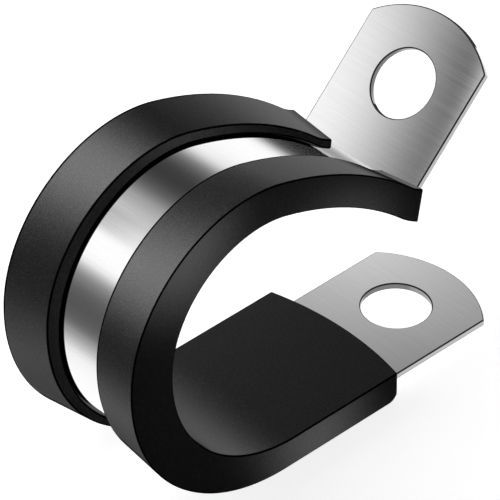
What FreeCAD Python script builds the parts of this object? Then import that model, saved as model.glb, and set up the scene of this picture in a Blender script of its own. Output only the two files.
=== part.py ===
import FreeCAD, Part
import math
import os

import Sketcher

# Rubber-lined P clip, shown open: one folded steel strap in one rubber liner.
# The bore's axis is Y, and the origin is the centre of the bore's round back.
# The lower tab lies flat and points to +X. The upper tab rises from the mouth.
# Every long face is the same outline in side view, offset from the strap's outer face.

SIZES = (
    ("strap_width", 15.0, "width of the steel band"),
    ("strap_thickness", 0.7, "thickness of the steel sheet"),
    ("edge_bevel", 0.12, "bevel along the strap's sheared edges"),
    ("low_radius", 17.65, "ring below the back, at the strap's outer face"),
    ("back_radius", 13.2, "back of the ring, at the strap's outer face"),
    ("top_radius", 39.1, "ring above the back, at the strap's outer face"),
    ("low_arc_angle", 94.1, "turn of the low arc, degrees"),
    ("back_arc_angle", 101.5, "turn of the back arc, degrees"),
    ("top_arc_angle", 28.05, "turn of the strap's top arc, up to the fold, degrees"),
    ("strap_shift_x", -0.66, "centre of the strap's back from the bore's, along X"),
    ("strap_shift_z", -0.19, "centre of the strap's back from the bore's, along Z"),
    ("fold_radius", 0.8, "fold at the root of the upper tab, at the outer face"),
    ("upper_tab_angle", 44.7, "slope of the upper tab, degrees"),
    ("hole_diameter", 7.0, "screw hole in each tab"),
    ("hole_to_root", 7.6, "from a hole's centre back to the line where the tab starts"),
    ("hole_to_tip", 7.55, "from a hole's centre to the end of the tab"),
    ("tip_radius", 11.1, "rounding of a tab's end, in plan"),
    ("lower_hole_reach", 26.4, "from the origin to the lower hole, along X"),
    ("upper_hole_reach", 8.7, "from the fold to the upper hole, along the tab"),
    ("side_wall", 1.25, "rubber beside each edge of the strap"),
    ("lip_gap", 6.6, "gap between the liner's two lips"),
    ("base_thickness", 1.28, "rubber between the strap and the bore"),
    ("lip_thickness", 1.73, "rubber over the strap's outer face, at the lip's outer edge"),
    ("lip_slope_angle", 6.5, "fall of a lip's crest towards the gap, degrees"),
    ("crest_shift_x", -1.4, "centre of the crest's back from the bore's, along X"),
    ("crest_shift_z", 0.44, "centre of the crest's back from the bore's, along Z"),
    ("liner_top_arc_angle", 26.6, "turn of the liner's top arc, up to where it flares, degrees"),
    ("flare_radius", 7.0, "flare of the liner's mouth, at the lip's crest"),
    ("flare_angle", 25.0, "about how far the flare turns before it is cut, degrees"),
    ("mouth_reach", 2.13, "from the top arc's end to the bore's upper end, along X"),
    ("mouth_cut_angle", 79.0, "slope of the cut at the liner's upper end, degrees"),
    ("lower_end_reach", 19.0, "from the origin to the liner's lower end, along X"),
    ("end_curve_radius", 34.0, "curve of the lower end, in plan"),
    ("end_corner_radius", 1.0, "rounding of the lower end's outer corner"),
    ("channel_clearance", 0.05, "clearance of the strap in the liner"),
    ("cut_margin", 3.0, "how far a cutting shape runs past what it cuts"),
)


class Length:
    """A length or angle, as a number and as the sheet's formula for it."""

    def __init__(self, number, formula):
        self.number = number
        self.formula = formula

    def __add__(self, other):
        return Length(self.number + other.number, "%s + %s" % (self.formula, other.formula))

    def __sub__(self, other):
        return Length(self.number - other.number, "%s - (%s)" % (self.formula, other.formula))

    def __neg__(self):
        return Length(-self.number, "-(%s)" % self.formula)

    def halved(self):
        return Length(self.number / 2, "(%s) / 2" % self.formula)

    def doubled(self):
        return Length(self.number * 2, "(%s) * 2" % self.formula)


def size(name):
    number = dict((row[0], row[1]) for row in SIZES)[name]
    return Length(number, "Sizes." + name)


def liner_width():
    return size("strap_width") + size("side_wall").doubled()


NONE = Length(0.0, "0.0")
BORE_CENTRE = (NONE, NONE)
STRAP_CENTRE = (size("strap_shift_x"), size("strap_shift_z"))
CREST_CENTRE = (size("crest_shift_x"), size("crest_shift_z"))


def add_sheet(document):
    sheet = document.addObject("Spreadsheet::Sheet", "Sizes")
    for row, (name, number, note) in enumerate(SIZES, start=1):
        sheet.set("A%d" % row, name)
        sheet.set("B%d" % row, str(number))
        sheet.set("C%d" % row, note)
        sheet.setAlias("B%d" % row, name)
    document.recompute()


def new_body(document, label):
    body = document.addObject("PartDesign::Body", label)
    body.Label = label
    body.Placement = FreeCAD.Placement()
    return body


def new_sketch(body, name, plane):
    sketch = body.newObject("Sketcher::SketchObject", name)
    origin = [part for part in body.Origin.OriginFeatures if part.Role == plane][0]
    sketch.AttachmentSupport = [(origin, "")]
    sketch.MapMode = "FlatFace"
    return sketch


def add_solid(body, kind, sketch, name, length, midplane=False, reverse=False):
    """Pad or pocket a sketch, with a length that follows the sheet."""
    body.Document.recompute()
    feature = body.newObject("PartDesign::" + kind, name)
    feature.Profile = sketch
    feature.setExpression("Length", length.formula)
    feature.Midplane = midplane
    feature.Reversed = reverse
    body.Document.recompute()
    return feature


def fix(sketch, length, *constraint):
    """Add a driving dimension that follows the sheet."""
    number = math.radians(length.number) if constraint[0] == "Angle" else length.number
    index = sketch.addConstraint(Sketcher.Constraint(*constraint, number))
    sketch.setExpression("Constraints[%d]" % index, length.formula)


def report_place(sketch, name, *constraint):
    """Add a dimension that only reports a place, for other features to follow."""
    index = sketch.addConstraint(Sketcher.Constraint(*constraint, 0.0))
    sketch.setDriving(index, False)
    sketch.renameConstraint(index, name)


def relate(sketch, *constraint):
    sketch.addConstraint(Sketcher.Constraint(*constraint))


def polar(centre, radius, degrees):
    angle = math.radians(degrees)
    return centre + FreeCAD.Vector(radius * math.cos(angle), radius * math.sin(angle), 0)


def add_line(sketch, start, end):
    return sketch.addGeometry(Part.LineSegment(start, end))


def add_circle(sketch, centre, radius):
    return sketch.addGeometry(Part.Circle(centre, FreeCAD.Vector(0, 0, 1), radius))


def add_arc(sketch, centre, radius, start_degrees, end_degrees):
    circle = Part.Circle(centre, FreeCAD.Vector(0, 0, 1), radius)
    arc = Part.ArcOfCircle(circle, math.radians(start_degrees), math.radians(end_degrees))
    return sketch.addGeometry(arc)


def add_link(sketch, first, first_end, second, second_end):
    """Draw a straight edge between the ends of two others."""
    start = sketch.getPoint(first, first_end)
    end = sketch.getPoint(second, second_end)
    line = add_line(sketch, start, end)
    relate(sketch, "Coincident", line, 1, first, first_end)
    relate(sketch, "Coincident", line, 2, second, second_end)
    return line


class RingFace:
    """One long face in side view: a flat, then the low, back and top arcs."""

    def __init__(self, sketch, offset, flat_start, centre):
        centre_x, centre_z = centre
        low = size("low_radius") + offset
        back = size("back_radius") + offset
        top = size("top_radius") + offset
        low_end = -90.0 - size("low_arc_angle").number
        back_end = low_end - size("back_arc_angle").number
        self.sketch = sketch
        self.top_radius = top.number
        self.top_end = back_end - size("top_arc_angle").number

        back_centre = FreeCAD.Vector(centre_x.number, centre_z.number, 0)
        low_centre = polar(back_centre, back.number - low.number, low_end)
        self.top_centre = polar(back_centre, back.number - top.number, back_end)
        flat_end = polar(low_centre, low.number, -90.0)

        self.flat = add_line(sketch, FreeCAD.Vector(flat_start.number, flat_end.y, 0), flat_end)
        self.low = add_arc(sketch, low_centre, low.number, low_end, -90.0)
        self.back = add_arc(sketch, back_centre, back.number, back_end, low_end)
        self.top = add_arc(sketch, self.top_centre, top.number, self.top_end, back_end)

        relate(sketch, "Horizontal", self.flat)
        relate(sketch, "Tangent", self.flat, 2, self.low, 2)
        relate(sketch, "Tangent", self.low, 1, self.back, 2)
        relate(sketch, "Tangent", self.back, 1, self.top, 2)
        fix(sketch, low, "Radius", self.low)
        fix(sketch, back, "Radius", self.back)
        fix(sketch, top, "Radius", self.top)
        fix(sketch, size("low_arc_angle"), "Angle", self.low)
        fix(sketch, size("back_arc_angle"), "Angle", self.back)
        fix(sketch, centre_x, "DistanceX", -1, 1, self.back, 3)
        fix(sketch, centre_z, "DistanceY", -1, 1, self.back, 3)

    def start_flat_at(self, reach):
        fix(self.sketch, reach, "DistanceX", -1, 1, self.flat, 1)

    def end_top_after(self, sweep):
        fix(self.sketch, sweep, "Angle", self.top)

    def turn_up(self, radius, end_degrees):
        """Follow the top arc with one that bends the other way."""
        centre = polar(self.top_centre, self.top_radius + radius.number, self.top_end)
        turn = add_arc(self.sketch, centre, radius.number, self.top_end + 180.0, end_degrees)
        relate(self.sketch, "Tangent", self.top, 1, turn, 1)
        fix(self.sketch, radius, "Radius", turn)
        return turn


class StrapFace(RingFace):
    """A face of the strap: the ring, then the fold and the upper tab."""

    def __init__(self, sketch, offset, flat_start, tab_length):
        super().__init__(sketch, offset, flat_start, STRAP_CENTRE)
        slope = size("upper_tab_angle").number
        self.end_top_after(size("top_arc_angle"))
        self.fold = self.turn_up(size("fold_radius") - offset, slope - 90.0)
        fold_end = sketch.getPoint(self.fold, 2)
        self.tab = add_line(sketch, fold_end, polar(fold_end, tab_length.number, slope))
        relate(sketch, "Tangent", self.fold, 2, self.tab, 1)


class LinerFace(RingFace):
    """A face of the liner: the ring, then a slow flare up to the mouth."""

    def __init__(self, sketch, offset, flat_start, centre):
        super().__init__(sketch, offset, flat_start, centre)
        radius = size("flare_radius") + size("lip_thickness") - offset
        self.end_top_after(size("liner_top_arc_angle"))
        self.flare = self.turn_up(radius, self.top_end + 180.0 + size("flare_angle").number)

    def end_flare_at(self, reach):
        fix(self.sketch, reach, "DistanceX", self.top, 1, self.flare, 2)


def draw_strap_side(sketch, gap, root_reach, tab_length):
    """Side view of the strap up to a line on each tab, with a gap all round."""
    outer = StrapFace(sketch, gap, root_reach, tab_length)
    inner = StrapFace(sketch, -(size("strap_thickness") + gap), root_reach, tab_length)
    lower_end = add_link(sketch, outer.flat, 1, inner.flat, 1)
    upper_end = add_link(sketch, outer.tab, 2, inner.tab, 2)
    relate(sketch, "Vertical", lower_end)
    relate(sketch, "Perpendicular", upper_end, outer.tab)
    relate(sketch, "Parallel", inner.tab, outer.tab)
    outer.start_flat_at(root_reach)
    fix(sketch, tab_length, "Distance", outer.tab)
    fix(sketch, size("upper_tab_angle"), "Angle", outer.tab)
    report_place(sketch, "flat_depth", "DistanceY", -1, 1, outer.flat, 1)
    report_place(sketch, "tab_root_x", "DistanceX", -1, 1, outer.tab, 2)
    report_place(sketch, "tab_root_z", "DistanceY", -1, 1, outer.tab, 2)


def draw_tab(sketch):
    """Plan of a tab, from its root line at the sketch's origin, with the hole."""
    half = size("strap_width").number / 2
    hole_x = size("hole_to_root")
    tip_radius = size("tip_radius")
    tip_centre_x = hole_x + size("hole_to_tip") - tip_radius
    tip_centre = FreeCAD.Vector(tip_centre_x.number, 0, 0)
    corner = math.degrees(math.asin(half / tip_radius.number))

    tip = add_arc(sketch, tip_centre, tip_radius.number, -corner, corner)
    near = add_line(sketch, FreeCAD.Vector(0, -half, 0), sketch.getPoint(tip, 1))
    far = add_line(sketch, sketch.getPoint(tip, 2), FreeCAD.Vector(0, half, 0))
    root = add_link(sketch, far, 2, near, 1)
    relate(sketch, "Coincident", near, 2, tip, 1)
    relate(sketch, "Coincident", tip, 2, far, 1)
    relate(sketch, "Horizontal", near)
    relate(sketch, "Horizontal", far)
    relate(sketch, "PointOnObject", far, 2, -2)
    relate(sketch, "Symmetric", near, 1, far, 2, -1)
    relate(sketch, "PointOnObject", tip, 3, -1)
    fix(sketch, size("strap_width"), "DistanceY", root, 2, root, 1)
    fix(sketch, tip_radius, "Radius", tip)
    fix(sketch, tip_centre_x, "DistanceX", -1, 1, tip, 3)

    hole_centre = FreeCAD.Vector(hole_x.number, 0, 0)
    hole = add_circle(sketch, hole_centre, size("hole_diameter").number / 2)
    relate(sketch, "PointOnObject", hole, 3, -1)
    fix(sketch, hole_x, "DistanceX", -1, 1, hole, 3)
    fix(sketch, size("hole_diameter"), "Diameter", hole)


def is_sheared(edge):
    """True for an edge along the strap's outline, not one across it or a sheet's thickness."""
    across = edge.Curve.TypeId == "Part::GeomLine" and abs(edge.Curve.Direction.y) > 0.5
    return not across and edge.Length > 2 * size("strap_thickness").number


def build_strap(document):
    """The band with its fold, then the two tabs, then the bevel on every sheared edge."""
    body = new_body(document, "strap")
    root_reach = size("lower_hole_reach") - size("hole_to_root")
    tab_length = size("upper_hole_reach") - size("hole_to_root")

    side = new_sketch(body, "strap_side", "XZ_Plane")
    draw_strap_side(side, NONE, root_reach, tab_length)
    add_solid(body, "Pad", side, "band", size("strap_width"), midplane=True)

    lower = new_sketch(body, "lower_tab_plan", "XY_Plane")
    draw_tab(lower)
    lower.setExpression("AttachmentOffset.Base.x", root_reach.formula)
    lower.setExpression("AttachmentOffset.Base.z", "strap_side.Constraints.flat_depth")
    add_solid(body, "Pad", lower, "lower_tab", size("strap_thickness"))

    upper = new_sketch(body, "upper_tab_plan", "XY_Plane")
    draw_tab(upper)
    lean = FreeCAD.Rotation(FreeCAD.Vector(0, 1, 0), -size("upper_tab_angle").number)
    upper.AttachmentOffset = FreeCAD.Placement(FreeCAD.Vector(), lean)
    upper.setExpression("AttachmentOffset.Rotation.Angle", "-1deg * Sizes.upper_tab_angle")
    upper.setExpression("AttachmentOffset.Base.x", "strap_side.Constraints.tab_root_x")
    upper.setExpression("AttachmentOffset.Base.z", "strap_side.Constraints.tab_root_z")
    tabs = add_solid(body, "Pad", upper, "upper_tab", size("strap_thickness"), reverse=True)

    edges = enumerate(tabs.Shape.Edges, start=1)
    sheared = ["Edge%d" % number for number, edge in edges if is_sheared(edge)]
    bevel = body.newObject("PartDesign::Chamfer", "sheared_edges")
    bevel.Base = (tabs, sheared)
    bevel.setExpression("Size", size("edge_bevel").formula)
    document.recompute()
    return body


def draw_liner_side(sketch):
    """Side view of the liner as a solid block, with the channel still to be cut."""
    end_reach = size("lower_end_reach")
    bore_offset = -(size("strap_thickness") + size("base_thickness"))
    bore = LinerFace(sketch, bore_offset, end_reach, BORE_CENTRE)
    crest = LinerFace(sketch, size("lip_thickness"), end_reach, CREST_CENTRE)
    lower_end = add_link(sketch, bore.flat, 1, crest.flat, 1)
    mouth = add_link(sketch, bore.flare, 2, crest.flare, 2)
    relate(sketch, "Vertical", lower_end)
    bore.start_flat_at(end_reach)
    bore.end_flare_at(size("mouth_reach"))
    fix(sketch, size("mouth_cut_angle"), "Angle", mouth)


def draw_lower_end_waste(sketch):
    """Plan of what lies beyond the liner's lower end, which is slightly round."""
    radius = size("end_curve_radius")
    width = liner_width() + size("cut_margin").doubled()
    end_reach = size("lower_end_reach")
    far_reach = end_reach + size("cut_margin")
    centre = FreeCAD.Vector(end_reach.number - radius.number, 0, 0)
    turn = math.degrees(math.asin(width.number / 2 / radius.number))

    end = add_arc(sketch, centre, radius.number, -turn, turn)
    near_corner = FreeCAD.Vector(far_reach.number, -width.number / 2, 0)
    far_corner = FreeCAD.Vector(far_reach.number, width.number / 2, 0)
    back = add_line(sketch, near_corner, far_corner)
    near = add_link(sketch, end, 1, back, 1)
    far = add_link(sketch, back, 2, end, 2)
    relate(sketch, "Horizontal", near)
    relate(sketch, "Horizontal", far)
    relate(sketch, "Symmetric", back, 1, back, 2, -1)
    relate(sketch, "PointOnObject", end, 3, -1)
    fix(sketch, end_reach - radius, "DistanceX", -1, 1, end, 3)
    fix(sketch, radius, "Radius", end)
    fix(sketch, far_reach, "DistanceX", -1, 1, back, 1)
    fix(sketch, width, "DistanceY", back, 1, back, 2)


def draw_crest_path(sketch):
    """The crest's outline, run on past both ends of the liner."""
    start = size("lower_end_reach") + size("cut_margin")
    crest = LinerFace(sketch, size("lip_thickness"), start, CREST_CENTRE)
    crest.start_flat_at(start)
    crest.end_flare_at(size("mouth_reach") + size("cut_margin"))
    report_place(sketch, "path_start_x", "DistanceX", -1, 1, crest.flat, 1)
    report_place(sketch, "path_start_z", "DistanceY", -1, 1, crest.flat, 1)


def draw_crest_section(sketch):
    """What the two sloping crests leave out of the block: a shallow wedge, apex at mid-width."""
    half = liner_width().number / 2
    fall = half * math.tan(math.radians(size("lip_slope_angle").number))
    margin = size("cut_margin")
    apex = FreeCAD.Vector(0, fall, 0)

    near = add_line(sketch, FreeCAD.Vector(-half, 0, 0), apex)
    far = add_line(sketch, apex, FreeCAD.Vector(half, 0, 0))
    back_near = FreeCAD.Vector(-half, -margin.number, 0)
    back_far = FreeCAD.Vector(half, -margin.number, 0)
    back = add_line(sketch, back_near, back_far)
    near_side = add_link(sketch, back, 1, near, 1)
    far_side = add_link(sketch, far, 2, back, 2)
    relate(sketch, "Coincident", near, 2, far, 1)
    relate(sketch, "PointOnObject", near, 2, -2)
    relate(sketch, "PointOnObject", near, 1, -1)
    relate(sketch, "Symmetric", near, 1, far, 2, -2)
    relate(sketch, "Vertical", near_side)
    relate(sketch, "Vertical", far_side)
    relate(sketch, "Horizontal", back)
    fix(sketch, liner_width(), "DistanceX", near, 1, far, 2)
    fix(sketch, size("lip_slope_angle"), "Angle", near)
    fix(sketch, margin, "DistanceY", near_side, 1, near_side, 2)


def draw_lip_gap(sketch):
    """Side view of all that lies outside the middle of the strap's thickness."""
    start = size("lower_end_reach") + size("cut_margin")
    tab_length = size("cut_margin")
    floor = StrapFace(sketch, -size("strap_thickness").halved(), start, tab_length)
    outside_offset = size("lip_thickness") + size("cut_margin")
    outside = RingFace(sketch, outside_offset, start, STRAP_CENTRE)
    lower_end = add_link(sketch, floor.flat, 1, outside.flat, 1)
    add_link(sketch, floor.tab, 2, outside.top, 1)
    relate(sketch, "Vertical", lower_end)
    floor.start_flat_at(start)
    outside.end_top_after(size("top_arc_angle"))
    fix(sketch, tab_length, "Distance", floor.tab)
    fix(sketch, size("upper_tab_angle"), "Angle", floor.tab)


def is_lower_corner(edge, lowest):
    """True for the edge where a lip's crest meets the liner's lower end."""
    box = edge.BoundBox
    near_end = box.XMin > size("lower_end_reach").number - size("cut_margin").number
    crosses_lip = box.YLength > size("lip_gap").number / 2
    return near_end and crosses_lip and box.ZMin < lowest + size("strap_thickness").number / 2


def build_liner(document):
    """A block cut to its ends and crests, then the strap's channel and the gap of the lips."""
    body = new_body(document, "liner")
    side = new_sketch(body, "liner_side", "XZ_Plane")
    draw_liner_side(side)
    add_solid(body, "Pad", side, "liner_block", liner_width(), midplane=True)

    end = new_sketch(body, "lower_end_plan", "XY_Plane")
    draw_lower_end_waste(end)
    depth = size("low_radius") + size("back_radius")
    add_solid(body, "Pocket", end, "lower_end", depth)

    path = new_sketch(body, "crest_path", "XZ_Plane")
    draw_crest_path(path)
    section = new_sketch(body, "crest_section", "YZ_Plane")
    draw_crest_section(section)
    section.setExpression("AttachmentOffset.Base.y", "crest_path.Constraints.path_start_z")
    section.setExpression("AttachmentOffset.Base.z", "crest_path.Constraints.path_start_x")
    document.recompute()
    crests = body.newObject("PartDesign::SubtractivePipe", "sloping_crests")
    crests.Profile = section
    crests.Spine = (path, [])
    document.recompute()

    clearance = size("channel_clearance")
    channel = new_sketch(body, "channel_side", "XZ_Plane")
    draw_strap_side(channel, clearance, size("lower_hole_reach"), size("upper_hole_reach"))
    channel_width = size("strap_width") + clearance.doubled()
    add_solid(body, "Pocket", channel, "strap_channel", channel_width, midplane=True)

    gap = new_sketch(body, "lip_gap_side", "XZ_Plane")
    draw_lip_gap(gap)
    lips = add_solid(body, "Pocket", gap, "lip_gap", size("lip_gap"), midplane=True)

    lowest = lips.Shape.BoundBox.ZMin
    edges = enumerate(lips.Shape.Edges, start=1)
    corners = ["Edge%d" % number for number, edge in edges if is_lower_corner(edge, lowest)]
    rounding = body.newObject("PartDesign::Fillet", "lower_corners")
    rounding.Base = (lips, corners)
    rounding.setExpression("Radius", size("end_corner_radius").formula)
    document.recompute()
    return body


def check(document, bodies):
    """Stop before any file is written if a step failed or a piece is not one valid solid."""
    for item in document.Objects:
        if "Invalid" in item.State or "Error" in item.State:
            raise RuntimeError("%s did not compute" % item.Label)
        if item.TypeId == "Sketcher::SketchObject" and item.solve() != 0:
            raise RuntimeError("sketch %s does not solve" % item.Label)
    for body in bodies:
        shape = body.Shape
        if shape.isNull() or not shape.isValid() or len(shape.Solids) != 1:
            raise RuntimeError("%s is not one valid solid" % body.Label)


def main():
    document = FreeCAD.newDocument("PClip")
    add_sheet(document)
    bodies = [build_strap(document), build_liner(document)]
    document.recompute()
    check(document, bodies)
    os.makedirs("parts", exist_ok=True)
    for body in bodies:
        body.Shape.exportStep("parts/%s.step" % body.Label)


main()
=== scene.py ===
"""Looks of a rubber-lined P clip: a folded steel strap in a moulded rubber liner.

Both pieces start as a straight blank, as the maker's strip does, and are bent along the
same side path. Lengths are millimetres until a mesh is made, which is in metres, and
sizes that are angles are degrees.
"""

import logging
import math
from dataclasses import dataclass, field
from enum import Enum
from typing import Any, Callable, NamedTuple

import bmesh
import bpy
from mathutils import Euler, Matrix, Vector


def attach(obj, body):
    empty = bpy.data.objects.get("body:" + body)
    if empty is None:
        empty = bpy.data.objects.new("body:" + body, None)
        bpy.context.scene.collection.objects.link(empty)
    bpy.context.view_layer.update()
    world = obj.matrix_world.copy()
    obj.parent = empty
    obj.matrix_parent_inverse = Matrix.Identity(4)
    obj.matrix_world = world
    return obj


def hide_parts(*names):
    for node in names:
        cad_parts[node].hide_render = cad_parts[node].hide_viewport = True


LOG = logging.getLogger("p_clip")
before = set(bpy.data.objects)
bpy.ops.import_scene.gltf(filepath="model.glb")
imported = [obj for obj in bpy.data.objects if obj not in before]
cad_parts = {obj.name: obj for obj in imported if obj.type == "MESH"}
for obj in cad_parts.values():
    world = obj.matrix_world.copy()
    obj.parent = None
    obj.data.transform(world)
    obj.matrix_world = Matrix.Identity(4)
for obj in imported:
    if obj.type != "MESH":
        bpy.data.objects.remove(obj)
ROOT_BODY = "root"
MM = 0.001
SHIFT = "shift"
BLANK_MAP = "blank"
# Faces that meet at a smaller angle than this are shaded as one curved face.
SMOOTH_ANGLE = 32.0
# A stretch of the path that is shorter than this counts as none.
SHORTEST = 1e-6
# The two ends of a stretch, a point in side view, and such a point with a heading in radians.
Span = tuple[float, float]
PathPoint = tuple[float, float]
PathState = tuple[float, float, float]


class Slot(Enum):
    """Names for the two finishes' material slots, which nothing here uses."""

    STEEL = "steel"
    RUBBER = "rubber"


class Field:
    """A number socket of a node tree that can be used in Python expressions."""

    def __init__(self, graph: "Graph", socket: bpy.types.NodeSocket) -> None:
        """Keep the tree that makes the Math nodes and the socket that holds the value."""
        self.graph = graph
        self.socket = socket

    def _math(self, operation: str, *values: "Field | float", clamp: bool = False) -> "Field":
        """Add one Math node.

        Args:
            operation: the Math node's operation.
            values: its inputs, in order.
            clamp: whether the result stays between 0 and 1.

        Returns:
            The node's result.
        """
        settings = {"operation": operation, "use_clamp": clamp}
        return self.graph.field("ShaderNodeMath", settings, dict(enumerate(values)))

    def __add__(self, other: "Field | float") -> "Field":
        """Sum."""
        return self._math("ADD", self, other)

    def __radd__(self, other: float) -> "Field":
        """Sum, with the number first."""
        return self._math("ADD", other, self)

    def __sub__(self, other: "Field | float") -> "Field":
        """Difference."""
        return self._math("SUBTRACT", self, other)

    def __rsub__(self, other: float) -> "Field":
        """Difference, with the number first."""
        return self._math("SUBTRACT", other, self)

    def __mul__(self, other: "Field | float") -> "Field":
        """Product."""
        return self._math("MULTIPLY", self, other)

    def __rmul__(self, other: float) -> "Field":
        """Product, with the number first."""
        return self._math("MULTIPLY", other, self)

    def __truediv__(self, other: "Field | float") -> "Field":
        """Quotient."""
        return self._math("DIVIDE", self, other)

    def clamped(self) -> "Field":
        """The value kept between 0 and 1."""
        return self._math("ADD", self, 0.0, clamp=True)

    def ramp(self, low: float, high: float) -> "Field":
        """Rise smoothly from 0 at low to 1 at high.

        Args:
            low: value where the rise starts.
            high: value where it ends.

        Returns:
            The share, from 0 to 1.
        """
        share = ((self - low) / (high - low)).clamped()
        return share * share * (3.0 - 2.0 * share)

    def band(self, rise: Span, fall: Span) -> "Field":
        """Rise from 0 to 1 over one stretch of values and fall back over another."""
        return self.ramp(*rise) * (1.0 - self.ramp(*fall))


class Graph:
    """A node tree, with one method that makes every node."""

    def __init__(self, tree: bpy.types.NodeTree) -> None:
        """Keep the tree, emptied."""
        self.tree = tree
        self.tree.nodes.clear()

    def node(self, kind: str, settings: dict[str, Any] | None = None,
             inputs: dict[Any, Any] | None = None) -> bpy.types.Node:
        """Make one node.

        Args:
            kind: the node's type.
            settings: its properties, which are set first; "curve" fills a curve's points.
            inputs: value or link for each input, by name or number.

        Returns:
            The node.
        """
        made = self.tree.nodes.new(kind)
        for name, value in (settings or {}).items():
            if name == "curve":
                self._fill_curve(made.mapping, value)
            else:
                setattr(made, name, value)
        for key, value in (inputs or {}).items():
            if isinstance(value, Field):
                value = value.socket
            if isinstance(value, bpy.types.NodeSocket):
                self.tree.links.new(value, made.inputs[key])
            else:
                made.inputs[key].default_value = value
        return made

    def field(self, kind: str, settings: dict[str, Any] | None = None,
              inputs: dict[Any, Any] | None = None, output: Any = 0) -> Field:
        """Make one node and return one of its outputs for use in expressions."""
        return Field(self, self.node(kind, settings, inputs).outputs[output])

    def split(self, vector: "Field | bpy.types.NodeSocket") -> tuple[Field, Field, Field]:
        """Take a vector apart into x, y and z."""
        parts = self.node("ShaderNodeSeparateXYZ", inputs={0: vector}).outputs
        return Field(self, parts[0]), Field(self, parts[1]), Field(self, parts[2])

    def grey(self, level: Field) -> Field:
        """Make a grey whose level changes over the surface."""
        return self.field("ShaderNodeCombineXYZ", inputs={0: level, 1: level, 2: level})

    def blank_place(self) -> tuple[Field, Field]:
        """Read the places along and across a piece's flat blank, in millimetres."""
        along, across, _ = self.split(self.field("ShaderNodeUVMap", {"uv_map": BLANK_MAP}))
        return along, across

    def set_surface(self, shader: Field) -> None:
        """Make a shader the material's surface."""
        self.node("ShaderNodeOutputMaterial", inputs={"Surface": shader})

    def set_mixed(self, share: Field, one: Field, other: Field) -> None:
        """Make two shaders the surface, the second one by its share."""
        self.set_surface(self.field("ShaderNodeMixShader", inputs={0: share, 1: one, 2: other}))

    def set_glow(self, strength: Field) -> None:
        """Make the surface glow, and clear to all that lies behind it."""
        glow = self.field("ShaderNodeEmission", inputs={"Strength": strength})
        clear = self.field("ShaderNodeBsdfTransparent")
        self.set_surface(self.field("ShaderNodeAddShader", inputs={0: glow, 1: clear}))

    @staticmethod
    def _fill_curve(mapping: bpy.types.CurveMapping, stops: list[tuple[float, float]]) -> None:
        """Set a curve's points.

        Args:
            mapping: the node's curves, of which the first is set.
            stops: a place and a level for each point, both from 0 to 1.
        """
        line = mapping.curves[0]
        while len(line.points) < len(stops):
            line.points.new(1.0, 1.0)
        for point, (place, level) in zip(line.points, stops):
            point.location = (place, level)
        mapping.update()


def grey(level: float) -> tuple[float, float, float, float]:
    """Make an even, opaque grey."""
    return level, level, level, 1.0


def shifted(place: float, offsets: Span) -> Span:
    """Move a stretch, given by its ends' distances from a place, to that place."""
    return place + offsets[0], place + offsets[1]


def new_material(name: str) -> tuple[bpy.types.Material, Graph]:
    """Make an empty node material.

    Args:
        name: the material's name.

    Returns:
        The material and its tree.
    """
    material = bpy.data.materials.new(name)
    material.use_nodes = True
    return material, Graph(material.node_tree)


@dataclass(frozen=True)
class RingSizes:
    """The ring in side view, at the strap's outer face, as in the solids."""

    low_radius: float = 17.65
    back_radius: float = 13.2
    top_radius: float = 39.1
    low_turn: float = 94.1
    back_turn: float = 101.5
    centre: PathPoint = (-0.66, -0.19)
    lower_tip: float = 33.95


@dataclass(frozen=True)
class StrapSizes:
    """The steel strap, as in the solids."""

    width: float = 15.0
    thickness: float = 0.7
    bevel: float = 0.12
    top_turn: float = 28.05
    fold_radius: float = 0.8
    tab_slope: float = 44.7
    hole_radius: float = 3.5
    hole_to_tip: float = 7.55
    hole_to_root: float = 7.6
    upper_hole_reach: float = 8.7
    tip_radius: float = 11.1


@dataclass(frozen=True)
class LinerSizes:
    """The rubber liner, as in the solids, which lack lip_lift, lip_slant and edge_width."""

    side_wall: float = 1.25
    base: float = 1.28
    lip: float = 1.73
    lip_gap: float = 6.6
    lip_slope: float = 6.5
    clearance: float = 0.05
    lip_lift: float = 0.3
    lip_slant: float = 0.8
    bore_shift: PathPoint = (0.66, 0.19)
    crest_shift: PathPoint = (-0.74, 0.63)
    top_turn: float = 26.6
    flare_radius: float = 7.0
    flare_turn: float = 40.0
    mouth_reach: float = 2.13
    mouth_slope: float = 79.0
    lower_end: float = 19.0
    end_radius: float = 34.0
    corner_radius: float = 1.0
    edge_width: float = 0.14


@dataclass(frozen=True)
class Bend:
    """One piece of the side path: its length, and how far it turns, in degrees."""

    length: float
    turn: float = 0.0

    @classmethod
    def arc(cls, radius: float, turn: float) -> "Bend":
        """An arc of that radius. Clockwise turns, seen from the front, are negative."""
        return cls(radius * abs(math.radians(turn)), turn)

    def after(self, distance: float, x: float, z: float, heading: float) -> PathState:
        """Go some way along the piece.

        Args:
            distance: how far along.
            x: where the piece starts.
            z: its height there.
            heading: its direction there, in radians from +X.

        Returns:
            x, z and the heading at that distance.
        """
        if not self.turn:
            return x + distance * math.cos(heading), z + distance * math.sin(heading), heading
        radius = self.length / math.radians(self.turn)
        turned = heading + distance / radius
        x += radius * (math.sin(turned) - math.sin(heading))
        z -= radius * (math.cos(turned) - math.cos(heading))
        return x, z, turned


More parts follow.
